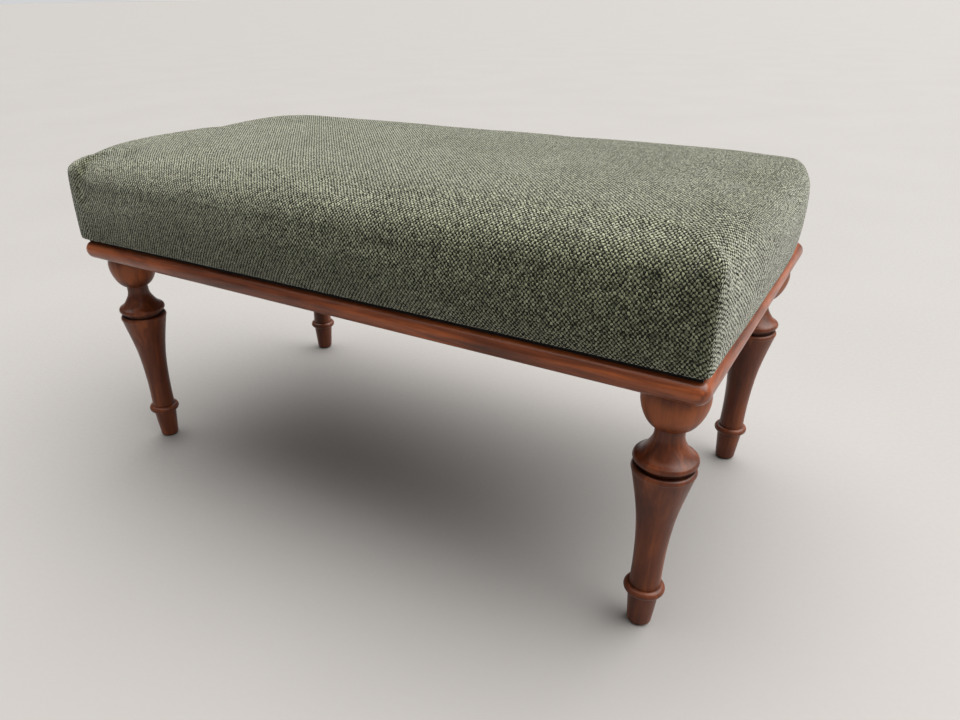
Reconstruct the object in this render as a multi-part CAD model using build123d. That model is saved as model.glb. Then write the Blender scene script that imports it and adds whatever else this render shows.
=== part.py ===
from build123d import *
import os

# Upholstered bench on four turned legs, in millimetres.
# Origin on the floor under the middle of the bench, +X along its length,
# +Y from its front to its back, +Z up.

# --- Frame -------------------------------------------------------------
FRAME_LENGTH = 800.0
FRAME_WIDTH = 454.0
RAIL_WIDTH = 70.0
RAIL_THICKNESS = 22.0
RAIL_BOTTOM = 280.0
FRAME_CORNER_RADIUS = 12.0
BULLNOSE_RADIUS = 10.9
RAIL_INNER_EDGE_RADIUS = 2.0

RAIL_TOP = RAIL_BOTTOM + RAIL_THICKNESS
RAIL_MIDDLE = RAIL_BOTTOM + RAIL_THICKNESS / 2
HALF_LENGTH = FRAME_LENGTH / 2
HALF_WIDTH = FRAME_WIDTH / 2
INNER_HALF_LENGTH = HALF_LENGTH - RAIL_WIDTH
INNER_HALF_WIDTH = HALF_WIDTH - RAIL_WIDTH

# Plywood splines glued across the four mitres.
SPLINE_ACROSS = 24.0
SPLINE_ALONG = 18.0
SPLINE_THICKNESS = 4.0
SPLINE_FROM_INNER_CORNER = 13.0

# Triangular glue blocks in the inner corners, each held by two screws.
BLOCK_LEG = 56.0
BLOCK_HEIGHT = 18.0
BLOCK_SCREW_OFFSET = 37.0
BLOCK_SCREW_LENGTH = 35.0
BLOCK_SCREW_DIAMETER = 4.0
BLOCK_SCREW_HEAD_DIAMETER = 8.0
BLOCK_SCREW_HEAD_HEIGHT = 2.4
BLOCK_SCREW_HEAD_DEPTH = 14.0

# --- Legs --------------------------------------------------------------
LEG_SPACING_X = 731.0
LEG_SPACING_Y = 366.0
LEG_MAX_RADIUS = 30.0
GLIDE_THICKNESS = 2.0
GLIDE_RADIUS = 10.0
GLIDE_PIN_RADIUS = 1.5
GLIDE_PIN_LENGTH = 14.0

FOOT_RADIUS = 12.4
FOOT_EDGE = 1.6
FOOT_TOP_RADIUS = 15.6
FOOT_TOP = 41.8
COLLAR_RADIUS = 20.6
COLLAR_HEIGHT = 9.6
ANKLE_RADIUS = 15.0
LIP_BOTTOM = 188.8
LIP_MIDDLE = 191.7
LIP_TOP = 194.6
LIP_ROUNDING = 2.4
GROOVE_RADIUS = 24.0
DISC_MIDDLE = 203.0
DISC_HALF_HEIGHT = 3.8
DISC_BULGE = 2.85
NECK_RADIUS = 13.6
NECK_BOTTOM = 230.0
BULB_BOTTOM = 236.0
BULB_WIDEST = 262.0
BULB_TOP_RADIUS = 28.0

# Hanger bolt up through each leg top into a threaded insert in the side rail.
BOLT_RADIUS = 4.0
BOLT_BOTTOM = 246.0
BOLT_TOP = 293.0
INSERT_RADIUS = 5.5
INSERT_LENGTH = 15.0

# --- Shadow gap and seat pad -------------------------------------------
GAP_STRIP_THICKNESS = 4.0
GAP_STRIP_WIDTH = 26.0
GAP_STRIP_INSET = 8.0

DUST_COVER_THICKNESS = 0.8
DUST_COVER_MARGIN = 12.0
FABRIC_THICKNESS = 1.5
WADDING_THICKNESS = 8.0
BOARD_THICKNESS = 12.0
BOARD_MARGIN = 8.0
BOARD_CORNER_RADIUS = 14.0
FABRIC_TURN_UNDER = 38.0

PAD_BOTTOM = RAIL_TOP + GAP_STRIP_THICKNESS + DUST_COVER_THICKNESS
PAD_TOP = 412.0
BOARD_BOTTOM = PAD_BOTTOM + FABRIC_THICKNESS
BOARD_TOP = BOARD_BOTTOM + BOARD_THICKNESS

# Outline of the pad at rising heights: height as a fraction of the whole,
# distance outside (+) or inside (-) the frame's edge, and corner radius.
PAD_SECTIONS = (
    (0.00, -8.0, 16.0),
    (0.12, -1.0, 20.0),
    (0.45, 5.0, 24.0),
    (0.74, 3.0, 24.0),
    (0.90, -8.0, 28.0),
    (0.97, -60.0, 50.0),
    (1.00, -150.0, 50.0),
)

# --- Fixings of the pad ------------------------------------------------
PAD_SCREW_RADIUS = 2.5
PAD_SCREW_LENGTH = 35.0
PAD_SCREW_HEAD_RADIUS = 4.75
PAD_SCREW_HEAD_HEIGHT = 3.0
PAD_SCREW_RECESS = 3.0
PAD_SCREW_X_PITCH = 240.0
PAD_SCREW_INSET = 24.0

STAPLE_CROWN = 10.0
STAPLE_WIRE = 0.7
STAPLE_LEG = 8.0
COVER_STAPLE_PITCH = 60.0
DUST_STAPLE_PITCH = 90.0

HOLE_CLEARANCE = 0.1
HAND_SIGNS = (("left", -1), ("right", 1))
DEPTH_SIGNS = (("front", -1), ("back", 1))

LEG_X = LEG_SPACING_X / 2
LEG_Y = LEG_SPACING_Y / 2
STRIP_OUTER_X = HALF_LENGTH - GAP_STRIP_INSET
STRIP_OUTER_Y = HALF_WIDTH - GAP_STRIP_INSET
SCREW_LINE_X = HALF_LENGTH - PAD_SCREW_INSET
SCREW_LINE_Y = HALF_WIDTH - PAD_SCREW_INSET


def box_between(x0, x1, y0, y1, z0, z1):
    """A box given by its lowest and highest corners."""
    centre = ((x0 + x1) / 2, (y0 + y1) / 2, (z0 + z1) / 2)
    return Pos(*centre) * Box(x1 - x0, y1 - y0, z1 - z0)


def slab(half_x, half_y, z0, z1, corner_radius):
    """A flat slab with rounded vertical corners, centred on the Z axis."""
    outline = RectangleRounded(2 * half_x, 2 * half_y, corner_radius)
    return Pos(0, 0, z0) * extrude(outline, z1 - z0)


def post(x, y, z0, z1, radius):
    """A vertical cylinder from z0 to z1."""
    return Pos(x, y, (z0 + z1) / 2) * Cylinder(radius, z1 - z0)


def corners():
    """The four corners: name, sign along X and sign along Y."""
    return [
        (f"{depth}_{hand}", sx, sy)
        for depth, sy in DEPTH_SIGNS
        for hand, sx in HAND_SIGNS
    ]


# --- Legs --------------------------------------------------------------
def leg_profile():
    """Half outline of a turned leg in the XZ plane, from floor to rail."""
    foot = GLIDE_THICKNESS
    collar_top = FOOT_TOP + COLLAR_HEIGHT
    lip_edge = LEG_MAX_RADIUS - 0.7
    lip_inner = LEG_MAX_RADIUS - LIP_ROUNDING
    disc_core = LEG_MAX_RADIUS - DISC_BULGE
    disc_low = DISC_MIDDLE - DISC_HALF_HEIGHT
    disc_high = DISC_MIDDLE + DISC_HALF_HEIGHT
    with BuildLine(Plane.XZ) as line:
        Line((0, foot), (FOOT_RADIUS - FOOT_EDGE, foot))
        RadiusArc((FOOT_RADIUS - FOOT_EDGE, foot), (FOOT_RADIUS, foot + FOOT_EDGE), -FOOT_EDGE)
        Line((FOOT_RADIUS, foot + FOOT_EDGE), (FOOT_TOP_RADIUS, FOOT_TOP))
        ThreePointArc(
            (FOOT_TOP_RADIUS, FOOT_TOP),
            (COLLAR_RADIUS, FOOT_TOP + COLLAR_HEIGHT / 2),
            (ANKLE_RADIUS + 0.4, collar_top),
        )
        # Trumpet that widens upward to the lip.
        Spline(
            (ANKLE_RADIUS + 0.4, collar_top),
            (ANKLE_RADIUS + 0.1, 74),
            (ANKLE_RADIUS + 1.1, 107),
            (19.5, 141),
            (lip_edge, LIP_BOTTOM),
            tangents=((-0.03, 1), (0.22, 1)),
        )
        ThreePointArc((lip_edge, LIP_BOTTOM), (LEG_MAX_RADIUS, LIP_MIDDLE), (lip_inner, LIP_TOP))
        Line((lip_inner, LIP_TOP), (GROOVE_RADIUS, LIP_TOP))
        Line((GROOVE_RADIUS, LIP_TOP), (GROOVE_RADIUS, disc_low))
        Line((GROOVE_RADIUS, disc_low), (disc_core, disc_low))
        ThreePointArc((disc_core, disc_low), (LEG_MAX_RADIUS, DISC_MIDDLE), (disc_core, disc_high))
        # Cove from the top of the disc into the neck.
        Spline(
            (disc_core, disc_high),
            (20.5, 213),
            (15.6, 221),
            (NECK_RADIUS, NECK_BOTTOM),
            tangents=((-1, 0.5), (0, 1)),
        )
        Line((NECK_RADIUS, NECK_BOTTOM), (NECK_RADIUS, BULB_BOTTOM))
        Line((NECK_RADIUS, BULB_BOTTOM), (NECK_RADIUS + 1.6, BULB_BOTTOM + 0.4))
        # Cup-shaped bulb under the rail.
        Spline(
            (NECK_RADIUS + 1.6, BULB_BOTTOM + 0.4),
            (24.6, 246.2),
            (LEG_MAX_RADIUS - 0.1, BULB_WIDEST),
            (BULB_TOP_RADIUS, RAIL_BOTTOM),
            tangents=((1, 0.5), (-0.25, 1)),
        )
        Line((BULB_TOP_RADIUS, RAIL_BOTTOM), (0, RAIL_BOTTOM))
        Line((0, RAIL_BOTTOM), (0, foot))
    return make_face(line.line)


def make_leg():
    """One turned leg on the Z axis, bored for its bolt and glide pin."""
    leg = revolve(leg_profile(), Axis.Z)
    leg -= post(0, 0, BOLT_BOTTOM, RAIL_BOTTOM, BOLT_RADIUS + HOLE_CLEARANCE)
    pin_hole_top = GLIDE_THICKNESS + GLIDE_PIN_LENGTH
    leg -= post(0, 0, GLIDE_THICKNESS, pin_hole_top, GLIDE_PIN_RADIUS + HOLE_CLEARANCE)
    return leg


def make_glide(x, y):
    """A nail-on nylon glide under one foot."""
    disc = post(x, y, 0, GLIDE_THICKNESS, GLIDE_RADIUS)
    pin = post(x, y, GLIDE_THICKNESS, GLIDE_THICKNESS + GLIDE_PIN_LENGTH, GLIDE_PIN_RADIUS)
    return disc + pin


# --- Frame -------------------------------------------------------------
def frame_ring():
    """The whole frame before it is divided at the mitres."""
    ring = slab(HALF_LENGTH, HALF_WIDTH, RAIL_BOTTOM, RAIL_TOP, FRAME_CORNER_RADIUS)
    rims = ring.faces().sort_by(Axis.Z)
    ring = fillet(rims[0].edges() + rims[-1].edges(), BULLNOSE_RADIUS)
    opening = box_between(
        -INNER_HALF_LENGTH, INNER_HALF_LENGTH,
        -INNER_HALF_WIDTH, INNER_HALF_WIDTH,
        RAIL_BOTTOM - 1, RAIL_TOP + 1,
    )
    return ring - opening


def mitre_wedge(side):
    """A prism that covers one rail of the frame, cut at 45 degrees."""
    x, y = HALF_LENGTH, HALF_WIDTH
    ix, iy = INNER_HALF_LENGTH, INNER_HALF_WIDTH
    outlines = {
        "front": ((-x, -y), (x, -y), (ix, -iy), (-ix, -iy)),
        "back": ((x, y), (-x, y), (-ix, iy), (ix, iy)),
        "left": ((-x, y), (-x, -y), (-ix, -iy), (-ix, iy)),
        "right": ((x, -y), (x, y), (ix, iy), (ix, -iy)),
    }
    face = make_face(Polyline(*outlines[side], close=True))
    return Pos(0, 0, RAIL_BOTTOM) * extrude(face, RAIL_THICKNESS)


def make_spline(sx, sy):
    """A plywood spline lying across one mitre."""
    turn = 45 if sx * sy > 0 else -45
    x = sx * (INNER_HALF_LENGTH + SPLINE_FROM_INNER_CORNER)
    y = sy * (INNER_HALF_WIDTH + SPLINE_FROM_INNER_CORNER)
    plate = Box(SPLINE_ALONG, SPLINE_ACROSS, SPLINE_THICKNESS)
    return Pos(x, y, RAIL_MIDDLE) * Rot(0, 0, turn) * plate


def make_insert(x, y):
    """A threaded insert, flush with the underside of the rail."""
    barrel = post(x, y, RAIL_BOTTOM, RAIL_BOTTOM + INSERT_LENGTH, INSERT_RADIUS)
    return barrel - post(x, y, RAIL_BOTTOM, RAIL_BOTTOM + INSERT_LENGTH, BOLT_RADIUS)


def countersunk_screw(radius, length, head_radius, head_height):
    """A countersunk screw along +Z, with its head at the origin."""
    head = Pos(0, 0, head_height / 2) * Cone(head_radius, radius, head_height)
    shank_length = length - head_height
    shank = Pos(0, 0, head_height + shank_length / 2) * Cylinder(radius, shank_length)
    return head + shank


def block_screw_places(sx, sy):
    """Where the two screws of a corner block sit, and which way they point."""
    z = RAIL_MIDDLE
    near = BLOCK_SCREW_OFFSET
    depth = BLOCK_SCREW_HEAD_DEPTH
    x_side = INNER_HALF_LENGTH
    y_side = INNER_HALF_WIDTH
    into_side_rail = Pos(sx * (x_side - depth), sy * (y_side - near), z) * Rot(0, 90 * sx, 0)
    into_long_rail = Pos(sx * (x_side - near), sy * (y_side - depth), z) * Rot(-90 * sy, 0, 0)
    return into_side_rail, into_long_rail


def block_screws(sx, sy, clearance=0.0):
    """The two screws of one corner block, or their holes with clearance."""
    radius = BLOCK_SCREW_DIAMETER / 2 + clearance
    head_radius = BLOCK_SCREW_HEAD_DIAMETER / 2 + clearance
    length = BLOCK_SCREW_LENGTH + clearance
    screw = countersunk_screw(radius, length, head_radius, BLOCK_SCREW_HEAD_HEIGHT)
    return [place * screw for place in block_screw_places(sx, sy)]


def make_corner_block(sx, sy):
    """A triangular glue block with countersunk holes for its two screws."""
    cx, cy = sx * INNER_HALF_LENGTH, sy * INNER_HALF_WIDTH
    outline = Polyline(
        (cx, cy),
        (cx - sx * BLOCK_LEG, cy),
        (cx, cy - sy * BLOCK_LEG),
        close=True,
    )
    block = extrude(make_face(outline), BLOCK_HEIGHT, dir=(0, 0, 1))
    block = Pos(0, 0, RAIL_MIDDLE - BLOCK_HEIGHT / 2) * block
    bore_radius = BLOCK_SCREW_HEAD_DIAMETER / 2 + HOLE_CLEARANCE
    bore = Pos(0, 0, -BLOCK_LEG / 2) * Cylinder(bore_radius, BLOCK_LEG)
    for place, screw in zip(block_screw_places(sx, sy), block_screws(sx, sy, HOLE_CLEARANCE)):
        block -= screw
        block -= place * bore
    return block


# --- Seat pad ----------------------------------------------------------
def pad_solid(inset):
    """The pad's crowned shape, drawn in on every side by the inset."""
    bottom = PAD_BOTTOM + inset
    height = PAD_TOP - inset - bottom
    outlines = []
    for rise, overhang, corner_radius in PAD_SECTIONS:
        length = FRAME_LENGTH + 2 * (overhang - inset)
        width = FRAME_WIDTH + 2 * (overhang - inset)
        outline = RectangleRounded(length, width, corner_radius - min(inset, corner_radius / 2))
        outlines.append(Pos(0, 0, bottom + rise * height) * outline)
    return loft(outlines, ruled=True)


def make_seat_board():
    """The plywood board at the bottom of the pad."""
    edge = PAD_SECTIONS[0][1] - BOARD_MARGIN
    return slab(
        HALF_LENGTH + edge, HALF_WIDTH + edge,
        BOARD_BOTTOM, BOARD_TOP, BOARD_CORNER_RADIUS,
    )


def make_fabric_cover():
    """The tweed cover, turned under the board all round."""
    cover = pad_solid(0) - pad_solid(FABRIC_THICKNESS)
    edge = PAD_SECTIONS[0][1] - FABRIC_TURN_UNDER
    opening = slab(
        HALF_LENGTH + edge, HALF_WIDTH + edge,
        PAD_BOTTOM - 1, BOARD_BOTTOM + 1, BOARD_CORNER_RADIUS,
    )
    return cover - opening


def make_foam_block():
    """The foam, from the board up to the wadding."""
    lowest = box_between(
        -FRAME_LENGTH, FRAME_LENGTH, -FRAME_WIDTH, FRAME_WIDTH, 0, BOARD_TOP,
    )
    return pad_solid(FABRIC_THICKNESS + WADDING_THICKNESS) - lowest


def make_wadding(foam, board):
    """The wrap between the foam and the cover, down past the board's edge."""
    return pad_solid(FABRIC_THICKNESS) - foam - board


def make_dust_cover():
    """The black cloth that closes the underside of the pad."""
    edge = PAD_SECTIONS[0][1] - DUST_COVER_MARGIN
    return slab(
        HALF_LENGTH + edge, HALF_WIDTH + edge,
        PAD_BOTTOM - DUST_COVER_THICKNESS, PAD_BOTTOM, BOARD_CORNER_RADIUS,
    )


def make_gap_strip(side):
    """A black spacer strip between a rail and the pad."""
    x1, y1 = STRIP_OUTER_X, STRIP_OUTER_Y
    x0, y0 = x1 - GAP_STRIP_WIDTH, y1 - GAP_STRIP_WIDTH
    z0, z1 = RAIL_TOP, RAIL_TOP + GAP_STRIP_THICKNESS
    strips = {
        "front": (-x1, x1, -y1, -y0, z0, z1),
        "back": (-x1, x1, y0, y1, z0, z1),
        "left": (-x1, -x0, -y0, y0, z0, z1),
        "right": (x0, x1, -y0, y0, z0, z1),
    }
    return box_between(*strips[side])


def pad_screw_spots():
    """Plan positions of the screws that hold the pad to the frame."""
    along = [step * PAD_SCREW_X_PITCH for step in (-1, 0, 1)]
    spots = [(x, sy * SCREW_LINE_Y) for x in along for _, sy in DEPTH_SIGNS]
    return spots + [(sx * SCREW_LINE_X, 0) for _, sx in HAND_SIGNS]


def pad_screw(x, y, clearance=0.0):
    """One pad screw, or its hole with clearance."""
    screw = countersunk_screw(
        PAD_SCREW_RADIUS + clearance,
        PAD_SCREW_LENGTH + clearance,
        PAD_SCREW_HEAD_RADIUS + clearance,
        PAD_SCREW_HEAD_HEIGHT,
    )
    return Pos(x, y, RAIL_BOTTOM + PAD_SCREW_RECESS) * screw


def pad_screw_hole(x, y):
    """The hole of one pad screw, with the recess below its head."""
    recess_radius = PAD_SCREW_HEAD_RADIUS + HOLE_CLEARANCE
    recess = post(x, y, RAIL_BOTTOM - 1, RAIL_BOTTOM + PAD_SCREW_RECESS, recess_radius)
    return pad_screw(x, y, HOLE_CLEARANCE) + recess


def staple(x, y, z, along_x):
    """A staple driven upward, its crown at height z."""
    wide, thick = STAPLE_CROWN / 2, STAPLE_WIRE / 2
    crown = box_between(-wide, wide, -thick, thick, 0, STAPLE_WIRE)
    shape = crown
    for side in (-1, 1):
        middle = side * (STAPLE_CROWN - STAPLE_WIRE) / 2
        half = STAPLE_WIRE / 2
        shape += box_between(middle - half, middle + half, -half, half, 0, STAPLE_LEG)
    turn = 0 if along_x else 90
    return Pos(x, y, z) * Rot(0, 0, turn) * shape


def staple_row(half_x, half_y, z, pitch):
    """Staples all round a rectangle, parallel to its sides."""
    staples = []
    for half_run, other, along_x in ((half_x, half_y, True), (half_y, half_x, False)):
        count = int((2 * half_run - pitch) // pitch) + 1
        start = -(count - 1) * pitch / 2
        for step in range(count):
            for side in (-1, 1):
                run = start + step * pitch
                spot = (run, side * other) if along_x else (side * other, run)
                staples.append(staple(*spot, z, along_x))
    return staples


# --- Assembly ----------------------------------------------------------
def build():
    """Every sub-part of the bench by name."""
    parts = {}

    leg = make_leg()
    for name, sx, sy in corners():
        parts[f"leg_{name}"] = Pos(sx * LEG_X, sy * LEG_Y, 0) * leg
    leg_spots = [(sx * LEG_X, sy * LEG_Y) for _, sx, sy in corners()]
    parts["foot_glides"] = Compound([make_glide(x, y) for x, y in leg_spots])
    parts["leg_bolts"] = Compound([post(x, y, BOLT_BOTTOM, BOLT_TOP, BOLT_RADIUS) for x, y in leg_spots])
    parts["leg_inserts"] = Compound([make_insert(x, y) for x, y in leg_spots])

    splines = [make_spline(sx, sy) for _, sx, sy in corners()]
    parts["mitre_splines"] = Compound(splines)
    screw_holes = [pad_screw_hole(x, y) for x, y in pad_screw_spots()]
    parts["pad_screws"] = Compound([pad_screw(x, y) for x, y in pad_screw_spots()])

    ring = frame_ring()
    insert_top = RAIL_BOTTOM + INSERT_LENGTH
    for x, y in leg_spots:
        ring -= post(x, y, RAIL_BOTTOM - 1, insert_top, INSERT_RADIUS)
    for hole in screw_holes + splines:
        ring -= hole
    for _, sx, sy in corners():
        for hole in block_screws(sx, sy, HOLE_CLEARANCE):
            ring -= hole
    sides = ("front", "back", "left", "right")
    for side in sides:
        parts[f"rail_{side}"] = ring & mitre_wedge(side)
        strip = make_gap_strip(side)
        for hole in screw_holes:
            strip -= hole
        parts[f"gap_strip_{side}"] = strip

    for name, sx, sy in corners():
        parts[f"corner_block_{name}"] = make_corner_block(sx, sy)
    parts["corner_block_screws"] = Compound(
        [screw for _, sx, sy in corners() for screw in block_screws(sx, sy)]
    )

    board = make_seat_board()
    foam = make_foam_block()
    parts["wadding"] = make_wadding(foam, board)
    parts["foam_block"] = foam
    cover = make_fabric_cover()
    dust_cover = make_dust_cover()
    for hole in screw_holes:
        board -= hole
        cover -= hole
        dust_cover -= hole
    parts["seat_board"] = board
    parts["fabric_cover"] = cover
    parts["dust_cover"] = dust_cover

    cover_line = FABRIC_TURN_UNDER - DUST_COVER_MARGIN / 2
    edge = PAD_SECTIONS[0][1]
    parts["cover_staples"] = Compound(
        staple_row(
            HALF_LENGTH + edge - cover_line, HALF_WIDTH + edge - cover_line,
            PAD_BOTTOM, COVER_STAPLE_PITCH,
        )
    )
    dust_line = FABRIC_TURN_UNDER + DUST_COVER_MARGIN
    parts["dust_cover_staples"] = Compound(
        staple_row(
            HALF_LENGTH + edge - dust_line, HALF_WIDTH + edge - dust_line,
            PAD_BOTTOM - DUST_COVER_THICKNESS - STAPLE_WIRE, DUST_STAPLE_PITCH,
        )
    )
    return parts


os.makedirs("parts", exist_ok=True)
for node, shape in build().items():
    export_step(shape, f"parts/{node}.step")
    print(node, round(shape.volume))
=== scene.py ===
"""Looks of the upholstered bench: its tweed pad, its stained wood, and a plain studio round it.

Everything is in metres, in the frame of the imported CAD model: +X is the bench's right end, -Y its
front and +Z up.
"""

import math

import bmesh
import bpy
import numpy as np
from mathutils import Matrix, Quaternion, Vector, noise


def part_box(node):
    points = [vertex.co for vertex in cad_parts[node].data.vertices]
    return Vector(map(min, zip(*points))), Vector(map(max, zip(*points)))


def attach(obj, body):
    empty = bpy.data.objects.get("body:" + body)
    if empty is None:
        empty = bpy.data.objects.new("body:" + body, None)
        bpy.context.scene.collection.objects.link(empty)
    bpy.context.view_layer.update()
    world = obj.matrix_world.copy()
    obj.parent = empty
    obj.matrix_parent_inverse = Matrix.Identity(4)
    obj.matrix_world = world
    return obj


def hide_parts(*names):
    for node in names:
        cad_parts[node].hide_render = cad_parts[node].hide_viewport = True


# Camera
CAMERA_PLACE = (0.4915, -0.7663, 0.5731)
CAMERA_AIM = (0.1359, -0.2183, 0.2000)
CAMERA_ROLL = -1.034                # degrees
CAMERA_SENSOR = 36.0                # millimetres
CAMERA_LENS = 27.385                # millimetres
CAMERA_SHIFT = (0.0486, 0.0541)     # shares of the picture's width

# Light, all of it from the sky. A direction's "up" is the sine of its elevation, and its "back" is how far
# a step of length 1 in that direction goes towards +Y. Each pair is where a patch starts and ends its fade.
KEY_STRENGTH = 6.4                  # of a broad soft patch nearly overhead
KEY_ELEVATION = 76.0                # degrees above the floor
KEY_BEARING = 8.0                   # degrees from +X towards +Y
KEY_EDGE = 0.30                     # cosine of the angle from its middle at which it has faded out
KEY_UP = (0.10, 0.55)
KEY_BACK = (-0.60, 0.10)
FRONT_STRENGTH = 0.24               # of a dim patch in front
FRONT_LOW = (0.05, 0.25)            # up, where it fades in
FRONT_HIGH = (0.55, 0.90)           # up, where it fades out
FRONT_BACK = (-0.60, -0.20)
BAND_STRENGTH = 0.62                # of a pale band along the horizon
BAND_UP = (0.02, 0.16)
BAND_BACK = (-0.30, 0.50)
BAND_DIM = 0.15                     # share of the band's strength that is left in front
FILL_STRENGTH = 0.035               # of the rest of the sky
KEY_COLOUR = (1.0, 0.975, 0.945)
BAND_COLOUR = (0.97, 0.985, 1.0)
FLOOR_REACH = 400.0                 # from the bench to the floor's edges

# Shape of the pad cover
GRID_STEP = 0.008                   # spacing of the cover's mesh before its last subdivision
SHOULDER = 0.024                    # radius of the soft edge round the top
SHOULDER_TURNS = round(SHOULDER * math.pi / 4 / (0.5 * GRID_STEP))      # steps in half of its quarter turn
LOWER_ROLL = 0.0035                 # radius of the edge that turns under the board
ROLL_ANGLES = (30, 60, 90)          # degrees round that edge
CORNER_INSET = (0.011, 0.0115)      # how far the upright corners stand inside the pad's widest box, X and Y
SIDE_BOW = (0.011, 0.008)           # how far the middles of the ends, and of the long sides, stand out
BOW_POWER = (2.5, 4.0)              # how full those bows are in plan, ends and long sides
SWELL_START = 0.05                  # a side's profile is a sine: where its half turn starts, at the bottom,
SWELL_SPAN = 0.80                   # and how much of the half turn it covers, up to the top
CROWN = 0.0145                      # rise of the top from its long edges to its middle line
CROWN_POWER = 4.8                   # how full the crown is from front to back
CROWN_LEAN = 0.0030                 # the crown's front half is this much fuller than its back half
RIM_RISE = 0.0025                   # how far the top's edge is above the CAD cover's top less the crown
EDGE_SAG = 0.0012                   # how far the padding hangs below the board's edge
EDGE_SAG_POWER = 5                  # how near to the edge that sag stays
UNEVENNESS = 0.0006                 # height of the broad hollows that use leaves in the padding
UNEVENNESS_SCALE = 7.0              # hollows in a metre
MERGE_DISTANCE = 1e-5               # points nearer than this are one where panels meet

# Upright corners of the pad cover. Each, by the signs of its X and Y, is (how far it stands out low down,
# how far high up, how square its top is, how far its top has sunk).
CORNERS = {
    (-1, -1): (0.0070, 0.0078, 6.5, 0.0),
    (1, -1): (0.0040, -0.0005, 3.8, 0.0005),
    (1, 1): (-0.0025, -0.0125, 1.8, 0.0090),
    (-1, 1): (0.0015, -0.0020, 3.2, 0.0040),
}
UPRIGHT_SQUARENESS = 12.0           # how square they all are in plan, below their tops
UPRIGHT_BY_EDGE = 0.8               # how much of that the soft edge's whole drop brings,
UPRIGHT_BY_WALL = 1.3               # and the wall's whole height
SQUARE_SPREAD = 0.7                 # how slowly a soft edge gets squarer towards a corner
STAND_OUT_POWER = 4                 # how near to a corner it stands out
SUNK_POWER = 6                      # and how near to it the top is sunk

# Swelling of the pad cover as cloth
SIM_CAP = 0.003                     # no point moves further than this
SIM_FRAMES = 20

# Tweed. Its scales are features in a metre of cloth.
YARN_ACROSS = 0.00197               # pitch of the pale yarns, along the bench
YARN_DOWN = 0.00233                 # pitch of the dark yarns, down the front
YARN_LEAN = 0.105                   # how far the pale yarns lean to the right as they go down the front
YARN_ROUNDNESS = 3.9                # 4 would bring a yarn's height down to nothing at its sides
WAVE_SHARE = 0.55                   # share of a yarn's height that comes from its waving over and under
END_PAINTED_SHEEN = 0.19                     # painted sheen: how much paler the ends are made, with more pale yarn on top and less shade between
END_FACING = (0.6, 0.95)            # how squarely a face looks along X, where that starts and is complete
DRIFT_SCALE = 55.0                  # of the yarns' slow wandering, by up to one pitch
JOG_SCALE = 400.0                   # of the stitches' own unevenness
JOG = 1.6                           # how much that is, in pitches
LEAD_SPREAD = 0.50                  # how differently stitches lift their pale yarn over the dark one
LEAD_LEVEL = -0.65                  # how far the dark yarns lie on top, before that and the noise
STITCH_EDGE = (-0.10, 0.06)         # lead of the pale yarn, where dark turns to pale
STITCH_TONE = 0.50                  # how much a stitch's tone differs from the next one's
PALE_YARN_TONE = 0.12               # how much a pale yarn's tone differs from the next yarn's
DARK_YARN_TONE = 0.25               # how much a dark yarn's does, or its fibres'
FIBRE_TONE = 0.21                   # how much slubs and fibres do in a pale yarn
HEATHER_SCALE = 170.0
HEATHER_TONE = 0.7                  # how much the dye's heather does
PALE_SEED = 7.0
DARK_SEED = 11.0
SHEEN = 1.0                         # fuzz on the pale yarns
SHEEN_TINT = (0.98, 1.0, 0.93)
PALE_YARN = (
    (0.15, (0.042, 0.048, 0.020)),
    (0.45, (0.142, 0.156, 0.083)),
    (0.85, (0.290, 0.308, 0.192)),
)
DARK_YARN = (
    (0.15, (0.006, 0.006, 0.004)),
    (0.62, (0.018, 0.017, 0.010)),
    (0.95, (0.070, 0.068, 0.042)),
)

# Other colours, as (place on a ramp, colour)
PINE = ((0.35, (0.30, 0.165, 0.068)), (0.50, (0.55, 0.36, 0.18)), (0.70, (0.66, 0.48, 0.28)))
PLY_FACE = ((0.30, (0.36, 0.235, 0.125)), (0.55, (0.52, 0.38, 0.23)), (0.80, (0.62, 0.49, 0.33)))
PLY_DARK_LAYER = (0.20, 0.115, 0.055)
PLY_LAYER = 0.0014                  # thickness of one layer
NYLON = ((0.35, (0.030, 0.020, 0.014)), (0.70, (0.060, 0.042, 0.030)))
FLOOR = ((0.35, (0.278, 0.270, 0.264)), (0.65, (0.286, 0.278, 0.272)))

# Stained wood, as stained_wood() takes it
RAIL_WOOD = {
    "light": (0.40, 0.100, 0.025),
    "mid": (0.190, 0.043, 0.011),
    "dark": (0.065, 0.016, 0.005),
    "figured": 1.1,
    "coat": 0.5,
    "coat_roughness": 0.20,
    "painted_shade_reach": 0.008,
}
LEG_WOOD = {
    "light": (0.29, 0.072, 0.015),
    "mid": (0.115, 0.026, 0.007),
    "dark": (0.042, 0.011, 0.004),
    "figured": 0.7,
    "coat": 0.28,
    "coat_roughness": 0.26,
    "painted_shade_reach": 0.018,
}
BULB_BELOW_TOP = 0.021              # from the top of a leg down to the middle of its bulb
BULB_LIGHT_SPAN = 0.020                 # how far above and below that middle the bulb is painted paler, as a painted highlight
BULB_PAINTED_HIGHLIGHT = 0.15

# Dust cloth
CLOTH_STEP = 0.006                  # spacing of its mesh
CLOTH_THICKNESS = 0.0005
CLOTH_GAP = 0.0001                  # between it and the board
CLOTH_SAG = 0.0035
CLOTH_FREE = (0.9, 0.8)             # shares of its half length and half width within which it hangs free
RIPPLE = 0.0007                     # height of its ripples
RIPPLE_SCALE = 22.0                 # ripples in a metre
PUCKER_SCALE = 95.0                 # puckers between staples, in radians a metre


# ---------------------------------------------------------------- node materials

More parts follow.
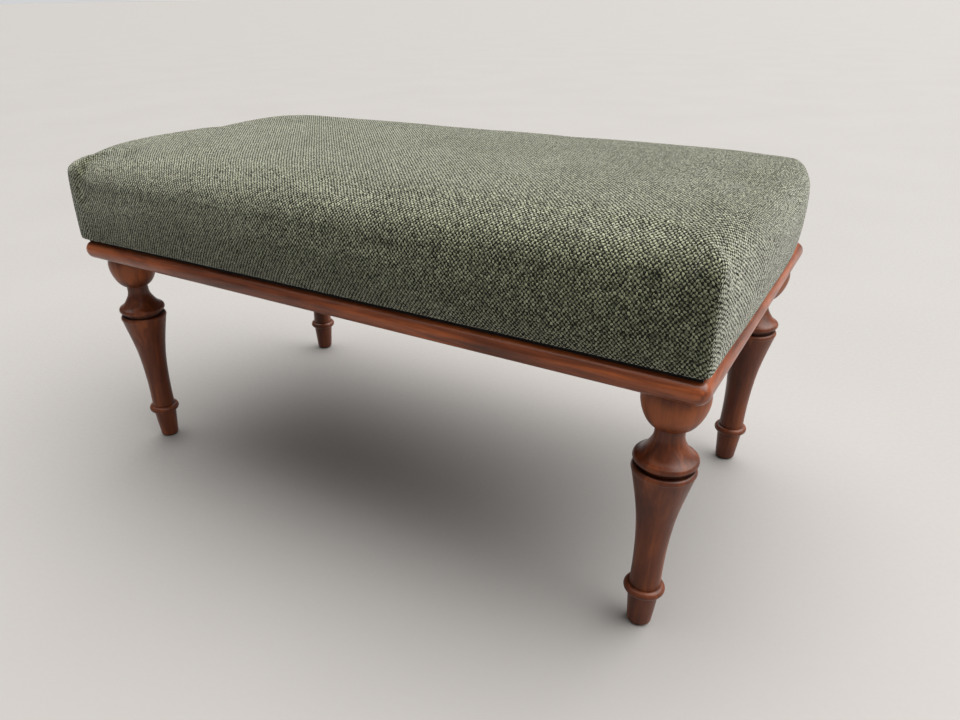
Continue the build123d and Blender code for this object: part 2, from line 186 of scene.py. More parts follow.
class Graph:
    """A node tree, with one short call for each kind of node that is used here."""

    def __init__(self, tree):
        self.tree = tree

    def put(self, socket, value):
        """Gives a socket a value, or links another node's output to it."""
        if isinstance(value, bpy.types.NodeSocket):
            self.tree.links.new(value, socket)
        elif hasattr(value, "__len__") and socket.type == "RGBA":
            socket.default_value = (*value[:3], 1.0)
        else:
            socket.default_value = value

    def coordinate(self, kind):
        return self.tree.nodes.new("ShaderNodeTexCoord").outputs[kind]

    def uv(self, layer):
        node = self.tree.nodes.new("ShaderNodeUVMap")
        node.uv_map = layer
        return node.outputs["UV"]

    def stretch(self, vector, scale, turn=(0, 0, 0)):
        node = self.tree.nodes.new("ShaderNodeMapping")
        self.put(node.inputs["Vector"], vector)
        node.inputs["Rotation"].default_value = [math.radians(a) for a in turn]
        node.inputs["Scale"].default_value = scale
        return node.outputs["Vector"]

    def noise(self, vector, scale=1.0, detail=2.0, roughness=0.5, distortion=0.0, colour=False):
        node = self.tree.nodes.new("ShaderNodeTexNoise")
        self.put(node.inputs["Vector"], vector)
        node.inputs["Scale"].default_value = scale
        node.inputs["Detail"].default_value = detail
        node.inputs["Roughness"].default_value = roughness
        node.inputs["Distortion"].default_value = distortion
        return node.outputs["Color" if colour else "Fac"]

    def cell_random(self, vector):
        node = self.tree.nodes.new("ShaderNodeTexWhiteNoise")
        node.noise_dimensions = "3D"
        self.put(node.inputs["Vector"], vector)
        return node.outputs["Value"]

    def math(self, operation, a, b=0.0, c=0.0):
        node = self.tree.nodes.new("ShaderNodeMath")
        node.operation = operation
        for socket, value in zip(node.inputs, (a, b, c)):
            self.put(socket, value)
        return node.outputs[0]

    def dot(self, a, b):
        node = self.tree.nodes.new("ShaderNodeVectorMath")
        node.operation = "DOT_PRODUCT"
        self.put(node.inputs[0], a)
        self.put(node.inputs[1], b)
        return node.outputs["Value"]

    def split(self, vector):
        node = self.tree.nodes.new("ShaderNodeSeparateXYZ")
        self.put(node.inputs[0], vector)
        return node.outputs[0], node.outputs[1], node.outputs[2]

    def join(self, x, y, z=0.0):
        node = self.tree.nodes.new("ShaderNodeCombineXYZ")
        for socket, value in zip(node.inputs, (x, y, z)):
            self.put(socket, value)
        return node.outputs[0]

    def range(self, value, low, high, to_low=0.0, to_high=1.0, smooth=True):
        """Maps low..high to to_low..to_high, and stays there outside."""
        node = self.tree.nodes.new("ShaderNodeMapRange")
        node.interpolation_type = "SMOOTHSTEP" if smooth else "LINEAR"
        self.put(node.inputs["Value"], value)
        self.put(node.inputs["From Min"], low)
        self.put(node.inputs["From Max"], high)
        self.put(node.inputs["To Min"], to_low)
        self.put(node.inputs["To Max"], to_high)
        return node.outputs[0]

    def mix(self, factor, a, b, blend="MIX"):
        node = self.tree.nodes.new("ShaderNodeMix")
        node.data_type = "RGBA"
        node.blend_type = blend
        self.put(node.inputs[0], factor)
        self.put(node.inputs[6], a)
        self.put(node.inputs[7], b)
        return node.outputs[2]

    def scaled(self, colour, by):
        """A colour times a number from another node."""
        return self.mix(1.0, colour, self.join(by, by, by), "MULTIPLY")

    def ramp(self, factor, *stops):
        """A colour ramp through (place, colour) stops."""
        node = self.tree.nodes.new("ShaderNodeValToRGB")
        elements = node.color_ramp.elements
        while len(elements) < len(stops):
            elements.new(0.5)
        for element, (place, colour) in zip(elements, stops):
            element.position = place
            element.color = (*colour, 1.0)
        self.put(node.inputs[0], factor)
        return node.outputs[0]


class Surface(Graph):
    """The node tree of a new material, round one surface shader."""

    def __init__(self, name):
        self.material = bpy.data.materials.new(name)
        self.material.use_nodes = True
        super().__init__(self.material.node_tree)
        self.tree.nodes.clear()
        self.shader = self.tree.nodes.new("ShaderNodeBsdfPrincipled")
        output = self.tree.nodes.new("ShaderNodeOutputMaterial")
        self.tree.links.new(self.shader.outputs[0], output.inputs["Surface"])

    def set(self, **inputs):
        """Sets inputs of the surface shader: base_color becomes Base Color."""
        for key, value in inputs.items():
            name = key.replace("_", " ").title().replace("Ior", "IOR")
            self.put(self.shader.inputs[name], value)

    def recess(self, reach, inside=False):
        """1 in the open, falling towards 0 in a recess of that reach, or near an outer edge when inside."""
        node = self.tree.nodes.new("ShaderNodeAmbientOcclusion")
        node.samples = 6
        node.inside = inside
        node.only_local = True
        node.inputs["Distance"].default_value = reach
        return node.outputs["AO"]

    def bump(self, height, depth, strength):
        """Bump of that depth in metres from a 0..1 height."""
        node = self.tree.nodes.new("ShaderNodeBump")
        node.inputs["Strength"].default_value = strength
        node.inputs["Distance"].default_value = depth
        self.put(node.inputs["Height"], height)
        self.tree.links.new(node.outputs[0], self.shader.inputs["Normal"])


def yarn_height(g, side, way, rise):
    """Height of a yarn: round across its side, and waving along its way, up where rise is 1."""
    roundness = g.math("MULTIPLY_ADD", g.math("MULTIPLY", side, side), -YARN_ROUNDNESS, 1.0)
    still = g.math("MULTIPLY", g.math("SQRT", roundness), 1 - WAVE_SHARE)
    wave = g.math("COSINE", g.math("MULTIPLY", way, math.pi))
    return g.math("MULTIPLY_ADD", g.math("MULTIPLY", wave, rise), WAVE_SHARE, still)


def yarn_count(g, length, pitch, jog, drift):
    """Number of yarns in a length of cloth, with the stitches' unevenness and the yarns' slow wandering."""
    return g.math("ADD", g.math("DIVIDE", length, pitch), g.math("MULTIPLY_ADD", jog, JOG, drift))


def tweed():
    """Chunky plain weave: pale sage yarns run over the top and down the front, and near-black ones cross
    them, so that the pale ones show as staggered dots."""
    g = Surface("tweed")
    uv = g.uv("cloth")
    drift_u, drift_v, _ = g.split(g.noise(uv, DRIFT_SCALE, 2.0, colour=True))
    jog_u, jog_v, jog_lead = g.split(g.noise(uv, JOG_SCALE, 1.0, colour=True))
    u, v, _ = g.split(uv)
    u = yarn_count(g, u, YARN_ACROSS, jog_u, drift_u)
    v = yarn_count(g, v, YARN_DOWN, jog_v, drift_v)

    # The weave: a pale yarn in each column, a dark one in each row, and a stitch where they cross
    column, row = g.math("FLOOR", u), g.math("FLOOR", v)
    across = g.math("SUBTRACT", g.math("FRACT", u), 0.5)
    along = g.math("SUBTRACT", g.math("FRACT", v), 0.5)
    odd = g.math("FLOORED_MODULO", g.math("ADD", column, row), 2.0)
    over = g.math("MULTIPLY_ADD", odd, -2.0, 1.0)
    pale_height = yarn_height(g, across, along, over)
    dark_height = yarn_height(g, along, across, g.math("MULTIPLY", over, -1.0))
    height = g.math("MAXIMUM", pale_height, dark_height)

    stitch = g.cell_random(g.join(column, row))
    # Painted sheen on the ends: faces that look along X get more pale yarn on top and less shade between the
    # yarns
    facing, _, _ = g.split(g.coordinate("Normal"))
    end_painted_sheen = g.range(g.math("ABSOLUTE", facing), *END_FACING, 0.0, END_PAINTED_SHEEN)
    lead = g.math("MULTIPLY_ADD", stitch, LEAD_SPREAD, g.math("ADD", jog_lead, LEAD_LEVEL))
    lead = g.math("ADD", lead, end_painted_sheen)
    lead = g.math("ADD", g.math("SUBTRACT", pale_height, dark_height), lead)
    pale_on_top = g.range(lead, *STITCH_EDGE)

    # The tones of both yarns
    pale_yarn = g.cell_random(g.join(column, PALE_SEED))
    dark_yarn = g.cell_random(g.join(DARK_SEED, row))
    slub = g.noise(g.stretch(uv, (500.0, 60.0, 1.0)), 1.0, 2.0)
    fibre = g.noise(g.stretch(uv, (2600.0, 2600.0, 1.0), turn=(0, 0, 35)), 1.0, 2.0, 0.6)
    heather = g.noise(uv, HEATHER_SCALE, 3.0, 0.7)
    light = g.math("MULTIPLY_ADD", stitch, STITCH_TONE, g.math("MULTIPLY", pale_yarn, PALE_YARN_TONE))
    light = g.math("ADD", light, g.math("MULTIPLY", g.math("ADD", slub, fibre), FIBRE_TONE))
    light = g.math("ADD", light, g.math("MULTIPLY_ADD", heather, HEATHER_TONE, -HEATHER_TONE / 2))
    gloom = g.math("MULTIPLY", g.math("ADD", dark_yarn, fibre), DARK_YARN_TONE)
    gloom = g.math("MULTIPLY_ADD", stitch, STITCH_TONE, gloom)
    colour = g.mix(pale_on_top, g.ramp(gloom, *DARK_YARN), g.ramp(light, *PALE_YARN))

    # Painted shade deep between the yarns, less of it on the ends as painted sheen, and a little uneven over
    # broad patches
    shade = g.range(g.math("ADD", height, end_painted_sheen), 0.25, 0.75, 0.15, 1.0)
    patch = g.range(g.noise(uv, 9.0, 4.0, 0.6), 0.3, 0.7, 0.86, 1.12, smooth=False)
    shade = g.math("MULTIPLY", shade, patch)

    g.set(base_color=g.scaled(colour, shade), roughness=0.93, specular_ior_level=0.18)
    fuzz = g.math("MULTIPLY", g.math("MULTIPLY", pale_on_top, shade), SHEEN)
    g.set(sheen_weight=fuzz, sheen_roughness=0.50, sheen_tint=SHEEN_TINT)
    g.bump(g.math("MULTIPLY_ADD", fibre, 0.22, height), 0.0009, 0.85)
    return g.material


def stained_wood(name, grain, light, mid, dark, figured, coat, coat_roughness, painted_shade_reach, highlight_at=None):
    """Stained, lacquered hardwood. grain is the axis of its fibres, figured how far its tone varies, and
    hollows how far into its recesses shade is painted. highlight_at is the height of a band painted paler as
    a highlight."""
    g = Surface(name)
    place = g.coordinate("Object")
    along = "XYZ".index(grain)

    def drawn(length, width):
        """Place scaled so that a texture's features are length long and width wide, in metres."""
        return g.stretch(place, [1 / length if i == along else 1 / width for i in range(3)])

    figure = g.noise(drawn(0.13, 0.011), 1.0, 4.0, 0.55, 1.1)
    streak = g.noise(drawn(0.11, 0.0035), 1.0, 3.0, 0.6, 0.3)
    cloud = g.noise(drawn(0.07, 0.030), 1.0, 3.0)
    pores = g.noise(drawn(0.006, 0.00035), 1.0, 2.0, 0.6)

    # Tone, the sum of three patterns, with a painted highlight band round the bulb and dark pores
    tone = g.math("MULTIPLY_ADD", figure, 0.50, g.math("MULTIPLY", streak, 0.15))
    tone = g.math("MULTIPLY_ADD", cloud, 0.35, tone)
    tone = g.math("MULTIPLY_ADD", g.math("SUBTRACT", tone, 0.50), figured, 0.55)
    # Painted highlight: a paler band round the fullest part of the bulb
    if highlight_at:
        off = g.math("ABSOLUTE", g.math("SUBTRACT", g.split(place)[2], highlight_at))
        painted_bulb_highlight = g.range(off, 0.2 * BULB_LIGHT_SPAN, BULB_LIGHT_SPAN, BULB_PAINTED_HIGHLIGHT, 0.0)
        tone = g.math("ADD", tone, painted_bulb_highlight)
    colour = g.ramp(tone, (0.40, dark), (0.55, mid), (0.72, light))
    pore = g.range(pores, 0.60, 0.72)
    colour = g.mix(g.math("MULTIPLY", pore, 0.28), colour, [0.45 * c for c in dark])

    # Painted shade in the recesses, and edges worn pale in places
    painted_recess_shade = g.range(g.recess(painted_shade_reach), 0.30, 0.95, 0.75, 0.0)
    colour = g.mix(painted_recess_shade, colour, [0.25 * c for c in dark])
    edge = g.range(g.recess(0.0025, inside=True), 0.15, 0.75, 1.0, 0.0)
    worn = g.math("MULTIPLY", edge, g.range(g.noise(place, 60.0, 3.0), 0.42, 0.62))
    colour = g.mix(g.math("MULTIPLY", worn, 0.35), colour, [min(1.0, 1.25 * c + 0.01) for c in light])

    smear = g.range(g.noise(place, 25.0, 3.0), 0.35, 0.65, -0.05, 0.07)
    g.set(base_color=colour, roughness=g.math("ADD", g.math("MULTIPLY_ADD", pore, 0.18, 0.42), smear))
    g.set(specular_ior_level=0.2, coat_weight=coat, coat_roughness=coat_roughness, coat_ior=1.5)
    g.bump(g.math("MULTIPLY_ADD", pore, -0.8, g.math("MULTIPLY", streak, 0.6)), 0.00025, 0.35)
    return g.material


def raw_pine():
    """Planed pale pine with yellow-brown growth rings, for the glue blocks."""
    g = Surface("raw_pine")
    place = g.coordinate("Object")
    rings = g.noise(g.stretch(place, (30.0, 260.0, 30.0), turn=(0, 0, 45)), 1.0, 2.0, 0.5, 0.8)
    fibre = g.noise(g.stretch(place, (150.0, 3000.0, 900.0), turn=(0, 0, 45)), 1.0, 2.0)
    tone = g.math("MULTIPLY_ADD", rings, 0.75, g.math("MULTIPLY", fibre, 0.25))
    roughness = g.range(rings, 0.3, 0.7, 0.55, 0.75)
    g.set(base_color=g.ramp(tone, *PINE), roughness=roughness, specular_ior_level=0.3)
    g.bump(fibre, 0.0003, 0.4)
    return g.material


def plywood():
    """Birch plywood: pale faces, and edges with a dark and a pale layer by turns."""
    g = Surface("plywood")
    place = g.coordinate("Object")
    layer = g.math("PINGPONG", g.split(place)[2], PLY_LAYER)
    grain = g.noise(g.stretch(place, (14.0, 420.0, 420.0)), 1.0, 3.0, 0.55, 0.5)
    band = g.math("MULTIPLY", g.range(layer, 0.0005, 0.0009), 0.45)
    g.set(base_color=g.mix(band, g.ramp(grain, *PLY_FACE), PLY_DARK_LAYER), roughness=0.7)
    g.bump(grain, 0.0002, 0.4)
    return g.material


def black_cloth(name, pitch, colour, fuzz):
    """Thin black cloth or felt, with a fine pattern of that pitch."""
    g = Surface(name)
    place = g.coordinate("Object")
    x, y, _ = g.split(g.stretch(place, (math.pi / pitch,) * 3))
    cross = g.math("MULTIPLY", g.math("SINE", x), g.math("SINE", y))
    lint = g.noise(place, 900.0, 4.0, 0.65)
    height = g.math("MULTIPLY_ADD", cross, 0.5 - 0.5 * fuzz, g.math("MULTIPLY", lint, fuzz))
    pale = [2.6 * c + 0.004 for c in colour]
    linted = g.mix(g.range(lint, 0.45, 0.75), colour, pale)
    g.set(base_color=linted, roughness=0.95, specular_ior_level=0.15)
    g.set(sheen_weight=0.12, sheen_roughness=0.5)
    g.bump(height, 0.0003, 0.6)
    return g.material


def metal(name, colour, roughness):
    """Plated metal with fine turning marks, dulled in patches."""
    g = Surface(name)
    place = g.coordinate("Object")
    marks = g.noise(g.stretch(place, (300.0, 300.0, 5000.0)), 1.0, 2.0)
    patch = g.noise(place, 240.0, 3.0)
    dull = [0.55 * c for c in colour]
    g.set(base_color=g.mix(g.range(patch, 0.45, 0.75, 0.0, 0.6), colour, dull), metallic=1.0)
    g.set(roughness=g.range(patch, 0.3, 0.7, roughness - 0.08, roughness + 0.14))
    g.bump(marks, 0.00015, 0.35)
    return g.material


def nylon():
    """Moulded brown nylon of the glides, matt with use underneath."""
    g = Surface("glide_nylon")
    grit = g.noise(g.coordinate("Object"), 1500.0, 3.0, 0.6)
    g.set(base_color=g.ramp(grit, *NYLON), roughness=g.range(grit, 0.3, 0.7, 0.42, 0.60))
    g.bump(grit, 0.0002, 0.35)
    return g.material


def pale_floor():
    """Plain pale floor of the studio."""
    g = Surface("floor")
    tone = g.noise(g.coordinate("Object"), 2.2, 3.0)
    grit = g.noise(g.coordinate("Object"), 160.0, 3.0)
    roughness = g.range(grit, 0.3, 0.7, 0.50, 0.62)
    g.set(base_color=g.ramp(tone, *FLOOR), roughness=roughness, specular_ior_level=0.25)
    g.bump(grit, 0.0003, 0.15)
    return g.material


# ---------------------------------------------------------------- pad cover

def stations(half):
    """Grid lines across a panel, each as its place on the flat part and the tangent of its angle round the
    soft edge."""
    flat = half - SHOULDER
    count = round(2 * flat / GRID_STEP)
    angles = [math.pi / 4 * i / SHOULDER_TURNS for i in range(1, SHOULDER_TURNS + 1)]
    soft = [(flat, math.tan(a)) for a in angles]
    middle = [(-flat + 2 * flat * i / count, 0.0) for i in range(count + 1)]
    return [(-p, -t) for p, t in reversed(soft)] + middle + soft


def corner_of(x, y):
    """The nearest upright corner's entry in CORNERS."""
    return CORNERS[(-1 if x < 0 else 1, -1 if y < 0 else 1)]


class CoverShape:
    """The outer shape of the pad, as places for the points of a grid on a box."""

    TOP = (1.0, 0.0, 0.0)

    def __init__(self, low, high):
        self.low = low
        self.mid = (low + high) / 2
        self.half_x = (high.x - low.x) / 2 - CORNER_INSET[0]
        self.half_y = (high.y - low.y) / 2 - CORNER_INSET[1]
        self.rim = high.z - CROWN + RIM_RISE
        self.wall = self.rim - SHOULDER - low.z - LOWER_ROLL
        self.across = stations(self.half_x)
        self.deep = stations(self.half_y)
        self.down = self.levels()

    def levels(self):
        """Grid lines down a side: (height of the soft edge's cube point, share of the wall, angle of the
        roll)."""
        rows = round(self.wall / GRID_STEP)
        angles = [math.pi / 4 * i / SHOULDER_TURNS for i in range(SHOULDER_TURNS + 1)]
        soft_edge = [(math.tan(math.pi / 4 - a), 0.0, 0.0) for a in angles]
        wall = [(0.0, i / rows, 0.0) for i in range(1, rows + 1)]
        roll = [(0.0, 1.0, math.radians(a)) for a in ROLL_ANGLES]
        return soft_edge + wall + roll

    def rounded(self, cube_x, cube_y, cube_z, depth):
        """Brings a point of the box's edge onto its soft edge: an arc at mid side, and squarer towards an
        upright corner."""
        square = corner_of(cube_x, cube_y)[2] * (1 - depth) + UPRIGHT_SQUARENESS * depth
        nearness = min(abs(cube_x), abs(cube_y)) / max(abs(cube_x), abs(cube_y), 1e-9)
        power = 2 + (square - 2) * nearness ** SQUARE_SPREAD
        size = sum(abs(c) ** power for c in (cube_x, cube_y, cube_z)) ** (1 / power)
        return cube_x / size, cube_y / size, cube_z / size

    def finished(self, x, y, z, u, v):
        """Adds the sides' bow, the corners, the crown and a little unevenness. u and v say how far a point
        is on a side."""
        share = max(0.0, (z - self.low.z) / (self.rim - self.low.z))
        swell = math.sin(math.pi * min(1.0, SWELL_START + SWELL_SPAN * share)) ** 0.5
        bend_x, bend_y = min(1.0, abs(x) / self.half_x), min(1.0, abs(y) / self.half_y)
        lump = UNEVENNESS * noise.fractal(Vector((x, y, z)) * UNEVENNESS_SCALE, 1.0, 2.0, 2)
        low_out, high_out, _, sunk = corner_of(x, y)
        stand_out = low_out + (high_out - low_out) * min(1.0, share)
        stand_out *= (bend_x * bend_y) ** STAND_OUT_POWER
        x += u * (lump + stand_out + SIDE_BOW[0] * swell * (1 - bend_y ** BOW_POWER[0]))
        y += v * (lump + stand_out + SIDE_BOW[1] * swell * (1 - bend_x ** BOW_POWER[1]))
        dome = (CROWN - CROWN_LEAN * y / self.half_y) * (1 - bend_y ** CROWN_POWER)
        drop = sunk * (bend_x * bend_y) ** SUNK_POWER * share ** 3
        return Vector((self.mid.x + x, self.mid.y + y, z + dome * share ** 2 + lump * share - drop))

    def place(self, station_x, station_y, level=TOP):
        """A point of the top, or of a side."""
        (flat_x, cube_x), (flat_y, cube_y) = station_x, station_y
        cube_z, wall_share, roll = level
        depth = min(1.0, UPRIGHT_BY_WALL * wall_share + UPRIGHT_BY_EDGE * (1 - cube_z))
        u, v, w = self.rounded(cube_x, cube_y, cube_z, depth)
        tuck = LOWER_ROLL * (1 - math.cos(roll))
        x = flat_x + SHOULDER * u - tuck * u
        y = flat_y + SHOULDER * v - tuck * v
        z = self.rim - SHOULDER * (1 - w) - self.wall * wall_share - LOWER_ROLL * math.sin(roll)
        z -= EDGE_SAG * wall_share ** EDGE_SAG_POWER
        return self.finished(x, y, z, u, v)

    def bottom(self, station_x, station_y):
        """A point of the flat underside, which meets the end of the roll."""
        (flat_x, cube_x), (flat_y, cube_y) = station_x, station_y
        reach = max(abs(cube_x), abs(cube_y))
        u, v, _ = self.rounded(cube_x, cube_y, 0.0, 1.0) if reach else (0.0, 0.0, 0.0)
        x = flat_x + (SHOULDER - LOWER_ROLL) * u * reach
        y = flat_y + (SHOULDER - LOWER_ROLL) * v * reach
        z = self.low.z - EDGE_SAG * reach ** EDGE_SAG_POWER
        return self.finished(x, y, z, u * reach, v * reach)


def lengths(points, start):
    """Lengths along a row of points, counted from the point at start, negative before it."""
    steps = [0.0]
    for p, q in zip(points, points[1:]):
        steps.append(steps[-1] + (q - p).length)
    return [s - steps[start] for s in steps]


def flattened(grid, start_i, start_j):
    """The (u, v) of each grid point: its real distance along both of its grid lines, so that yarns keep
    their pitch."""
    rows = [lengths(row, start_j) for row in grid]
    columns = [lengths(column, start_i) for column in zip(*grid)]
    return [[(columns[j][i], rows[i][j]) for j in range(len(grid[0]))] for i in range(len(grid))]


def add_panel(mesh, uv_layer, points, uvs, outward):
    """Adds a grid of quads, its UVs, and turns it to face outward."""
    grid = [[mesh.verts.new(p) for p in row] for row in points]
    for i in range(len(grid) - 1):
        for j in range(len(grid[0]) - 1):
            ring = [(i, j), (i + 1, j), (i + 1, j + 1), (i, j + 1)]
            face = mesh.faces.new([grid[a][b] for a, b in ring])
            face.smooth = True
            for loop, (a, b) in zip(face.loops, ring):
                loop[uv_layer].uv = uvs[a][b]
            face.normal_update()
            if face.normal.dot(outward) < 0:
                face.normal_flip()


def finished_mesh(mesh, name):
    """Turns an edited mesh into mesh data of that name."""
    data = bpy.data.meshes.new(name)
    mesh.to_mesh(data)
    mesh.free()
    return data


def cover_mesh(name, low, high):
    """The pad cover as one closed mesh of quads. Its UV map is in metres and unrolls the top down each
    side."""
    shape = CoverShape(low, high)
    mesh = bmesh.new()
    layer = mesh.loops.layers.uv.new("cloth")
    across, deep, down = shape.across, shape.deep, shape.down
    mid_x, mid_y = len(across) // 2, len(deep) // 2
    top = [[shape.place(a, b) for b in deep] for a in across]
    flat_top = flattened(top, mid_x, mid_y)
    add_panel(mesh, layer, top, flat_top, Vector((0, 0, 1)))
    base = [[shape.bottom(a, b) for b in deep] for a in across]
    add_panel(mesh, layer, base, flattened(base, mid_x, mid_y), Vector((0, 0, -1)))
    for sign, edge in ((-1, 0), (1, -1)):
        long_side = [[shape.place(a, deep[edge], d) for d in down] for a in across]
        lean = YARN_LEAN if sign < 0 else 0.0
        uvs = [
            [(u - lean * v, flat_top[i][edge][1] + sign * v) for u, v in row]
            for i, row in enumerate(flattened(long_side, mid_x, 0))
        ]
        add_panel(mesh, layer, long_side, uvs, Vector((0, sign, 0)))
        end = [[shape.place(across[edge], b, d) for d in down] for b in deep]
        uvs = [
            [(flat_top[edge][j][0] + sign * u, v) for v, u in row]
            for j, row in enumerate(flattened(end, mid_y, 0))
        ]
        add_panel(mesh, layer, end, uvs, Vector((sign, 0, 0)))
    bmesh.ops.remove_doubles(mesh, verts=mesh.verts, dist=MERGE_DISTANCE)
    return finished_mesh(mesh, name)


def coordinates(data):
    """Places of a mesh's points, one in each row."""
    co = np.empty(len(data.vertices) * 3)
    data.vertices.foreach_get("co", co)
    return co.reshape(-1, 3)


def simulated(cover, held_points):
    """Places of the cover's points after it is blown up as cloth, with some of its points held."""
    scene = bpy.context.scene
    held = cover.vertex_groups.new(name="held")
    held.add(held_points, 1.0, "ADD")
    cloth = cover.modifiers.new("cloth", "CLOTH")
    settings = cloth.settings
    settings.quality = 6
    settings.mass = 0.3
    settings.tension_stiffness = 80.0
    settings.compression_stiffness = 80.0
    settings.shear_stiffness = 20.0
    settings.bending_stiffness = 3.0
    settings.air_damping = 2.0
    settings.use_pressure = True
    settings.uniform_pressure_force = 1.0
    settings.vertex_group_mass = "held"
    settings.effector_weights.gravity = 0.0
    cloth.point_cache.frame_start, cloth.point_cache.frame_end = 1, SIM_FRAMES
    for frame_number in range(1, SIM_FRAMES + 1):
        scene.frame_set(frame_number)
    blown_up = cover.evaluated_get(bpy.context.evaluated_depsgraph_get())
    places = coordinates(blown_up.data)
    cover.modifiers.remove(cloth)
    cover.vertex_groups.remove(held)
    scene.frame_set(1)
    return places


def swell(cover, held_below):
    """Blows the cover up a little, with its underside held, so that its faces crown and its edges draw in."""
    before = coordinates(cover.data)
    moved = simulated(cover, [i for i, p in enumerate(before) if p[2] < held_below]) - before
    length = np.linalg.norm(moved, axis=1)
    print("cover moved by up to", round(1000 * float(length.max()), 1), "mm")
    kept = SIM_CAP * np.tanh(length / SIM_CAP)
    moved *= (kept / np.maximum(length, 1e-9))[:, None]
    cover.data.vertices.foreach_set("co", (before + moved).ravel())
    cover.data.update()


def add_piece(name, data, material):
    """Puts mesh data into the scene as a piece of that name."""
    piece = bpy.data.objects.new(name, data)
    bpy.context.scene.collection.objects.link(piece)
    data.materials.append(material)
    return piece


def make_pad_cover():
    """The tweed cover with its padding inside, as one soft piece."""
    low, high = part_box("fabric_cover")
    cover = add_piece("pad_cover", cover_mesh("pad_cover", low, high), tweed())
    swell(cover, low.z + 0.5 * LOWER_ROLL)
    finer = cover.modifiers.new("finer", "SUBSURF")
    finer.levels = finer.render_levels = 1
    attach(cover, "root")
    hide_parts("fabric_cover", "wadding", "foam_block")


# ---------------------------------------------------------------- dust cloth

def cloth_drop(x, y, across, along):
    """How far the dust cloth hangs below its edge at (x, y). across and along are -1 to 1 over its width
    and its depth."""
    free_x = max(0.0, 1 - (across / CLOTH_FREE[0]) ** 2)
    free_y = max(0.0, 1 - (along / CLOTH_FREE[1]) ** 2)
    slack = free_x * free_y
    near_edge = max(abs(across), abs(along)) ** 6
    ripple = noise.noise(Vector((x * RIPPLE_SCALE, y * RIPPLE_SCALE, 3.0))) * slack ** 0.5
    ripple += 0.5 * math.sin(x * PUCKER_SCALE) * math.sin(y * PUCKER_SCALE) * near_edge * slack
    return CLOTH_SAG * slack ** 0.6 - RIPPLE * ripple


def dust_cloth_mesh(name, low, high):
    """The dust cloth's upper face as a grid of quads."""
    width, depth = high.x - low.x, high.y - low.y
    count_x, count_y = round(width / CLOTH_STEP), round(depth / CLOTH_STEP)
    mesh = bmesh.new()
    grid = []
    for i in range(count_x + 1):
        column = []
        for j in range(count_y + 1):
            x, y = low.x + width * i / count_x, low.y + depth * j / count_y
            drop = cloth_drop(x, y, 2 * i / count_x - 1, 2 * j / count_y - 1)
            column.append(mesh.verts.new((x, y, high.z - CLOTH_GAP - drop)))
        grid.append(column)
    for i in range(count_x):
        for j in range(count_y):
            ring = (grid[i][j], grid[i + 1][j], grid[i + 1][j + 1], grid[i][j + 1])
            mesh.faces.new(ring).smooth = True
    return finished_mesh(mesh, name)


def make_dust_cloth(material):
    """Thin black cloth stapled under the board, which sags a little between the rails and ripples."""
    low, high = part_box("dust_cover")
    cloth = add_piece("dust_cloth", dust_cloth_mesh("dust_cloth", low, high), material)
    thick = cloth.modifiers.new("thickness", "SOLIDIFY")
    thick.thickness = CLOTH_THICKNESS
    thick.offset = -1.0
    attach(cloth, "root")
    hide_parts("dust_cover")


# ---------------------------------------------------------------- studio

def make_floor():
    """One wide flat floor under the bench."""
    data = bpy.data.meshes.new("floor")
    corners = [(x * FLOOR_REACH, y * FLOOR_REACH, 0) for x, y in ((-1, -1), (1, -1), (1, 1), (-1, 1))]
    data.from_pydata(corners, [], [(0, 1, 2, 3)])
    floor = add_piece("floor", data, pale_floor())


def make_light():
    """Lights the studio by its sky alone: a strength for each direction, worked out from that direction."""
    world = bpy.data.worlds.new("studio")
    world.use_nodes = True
    g = Graph(world.node_tree)
    towards = g.coordinate("Generated")
    _, back, up = g.split(towards)

    elevation, bearing = math.radians(KEY_ELEVATION), math.radians(KEY_BEARING)
    level = math.cos(elevation)
    middle = (level * math.cos(bearing), level * math.sin(bearing), math.sin(elevation))
    key = g.range(g.dot(towards, middle), KEY_EDGE, 1.0, 0.0, KEY_STRENGTH)
    key = g.math("MULTIPLY", key, g.range(up, *KEY_UP))
    key = g.math("MULTIPLY", key, g.range(back, *KEY_BACK))

    band = g.range(g.math("ABSOLUTE", up), *BAND_UP, BAND_STRENGTH, 0.0)
    band = g.math("MULTIPLY", band, g.range(back, *BAND_BACK, BAND_DIM, 1.0))
    front = g.math("MULTIPLY", g.range(up, *FRONT_LOW), g.range(up, *FRONT_HIGH, 1.0, 0.0))
    front = g.math("MULTIPLY", front, g.range(back, *FRONT_BACK, FRONT_STRENGTH, 0.0))

    warm = g.scaled(KEY_COLOUR, key)
    cool = g.scaled(BAND_COLOUR, g.math("ADD", band, front))
    colour = g.mix(1.0, g.mix(1.0, warm, cool, "ADD"), (FILL_STRENGTH,) * 3, "ADD")
    g.put(g.tree.nodes["Background"].inputs["Color"], colour)
    bpy.context.scene.world = world
    bpy.context.scene.view_settings.view_transform = "Standard"


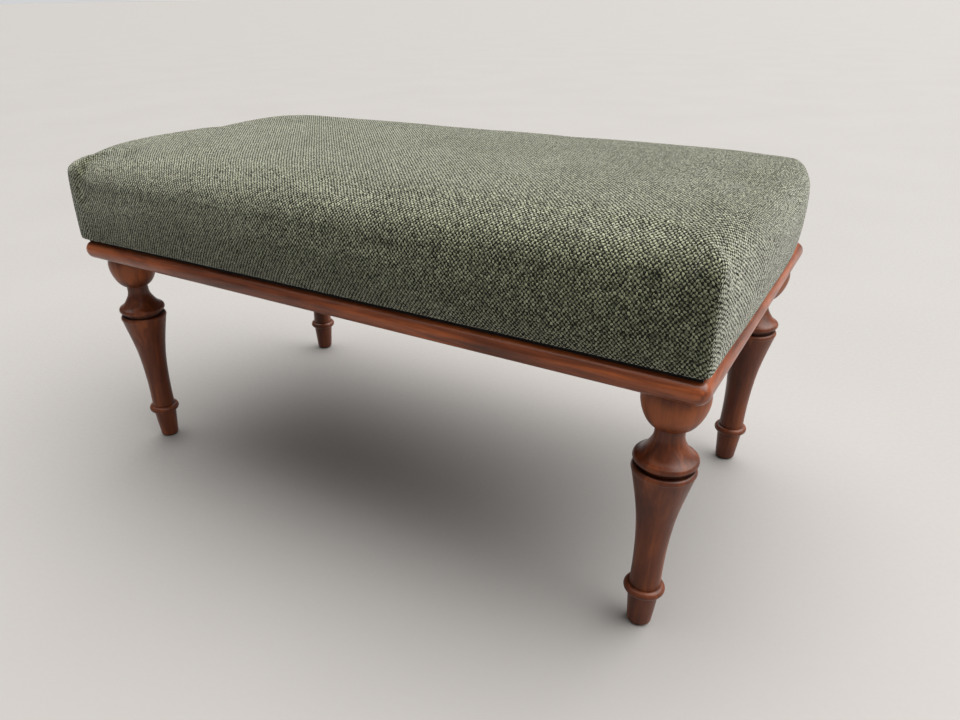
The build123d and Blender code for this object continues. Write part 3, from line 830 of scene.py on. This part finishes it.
def make_camera():
    """The camera, a little to the right of the bench's middle, in front of it and above it."""
    data = bpy.data.cameras.new("camera")
    data.sensor_width = CAMERA_SENSOR
    data.lens = CAMERA_LENS
    data.shift_x, data.shift_y = CAMERA_SHIFT
    camera = bpy.data.objects.new("camera", data)
    camera.location = CAMERA_PLACE
    looking = (Vector(CAMERA_AIM) - Vector(CAMERA_PLACE)).to_track_quat("-Z", "Y")
    camera.rotation_mode = "QUATERNION"
    camera.rotation_quaternion = looking @ Quaternion((0, 0, 1), math.radians(CAMERA_ROLL))
    bpy.context.scene.collection.objects.link(camera)
    bpy.context.scene.camera = camera


# ---------------------------------------------------------------- the bench

def dress(nodes):
    """Gives each CAD node that stays in view its material, by the record's material slot."""
    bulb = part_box("leg_front_left")[1].z - BULB_BELOW_TOP
    by_slot = {
        "block_wood": raw_pine(),
        "plywood": plywood(),
        # Felt spacers in the gap under the pad, made near black so that they also serve as painted shadow in
        # that gap
        "gap_strip": black_cloth("gap_felt_painted_shadow", 0.0012, (0.006, 0.005, 0.005), 0.8),
        "dust_cloth": black_cloth("dust_cloth", 0.0009, (0.010, 0.010, 0.011), 0.35),
        "glide_nylon": nylon(),
        "brass": metal("brass", (0.72, 0.52, 0.24), 0.32),
        "steel": metal("steel", (0.56, 0.56, 0.58), 0.34),
        "turned_wood": stained_wood("leg_wood", "Z", **LEG_WOOD, highlight_at=bulb),
    }
    rails_long = stained_wood("rail_wood_long", "X", **RAIL_WOOD)
    rails_short = stained_wood("rail_wood_short", "Y", **RAIL_WOOD)
    for name, node in nodes.items():
        slot = node.data.materials[0].name.split(".")[0]
        if slot == "frame_wood":
            material = rails_short if name in ("rail_left", "rail_right") else rails_long
        else:
            material = by_slot.get(slot)
        if material:
            node.data.materials[0] = material
    return by_slot


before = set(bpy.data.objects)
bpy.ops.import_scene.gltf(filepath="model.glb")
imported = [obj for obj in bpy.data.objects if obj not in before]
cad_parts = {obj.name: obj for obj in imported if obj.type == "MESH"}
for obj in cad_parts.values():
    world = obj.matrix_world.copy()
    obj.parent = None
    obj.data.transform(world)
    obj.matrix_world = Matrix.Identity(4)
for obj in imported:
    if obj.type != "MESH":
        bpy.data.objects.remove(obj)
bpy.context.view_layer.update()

materials = dress(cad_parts)
make_pad_cover()
make_dust_cloth(materials["dust_cloth"])
make_floor()
make_light()
make_camera()
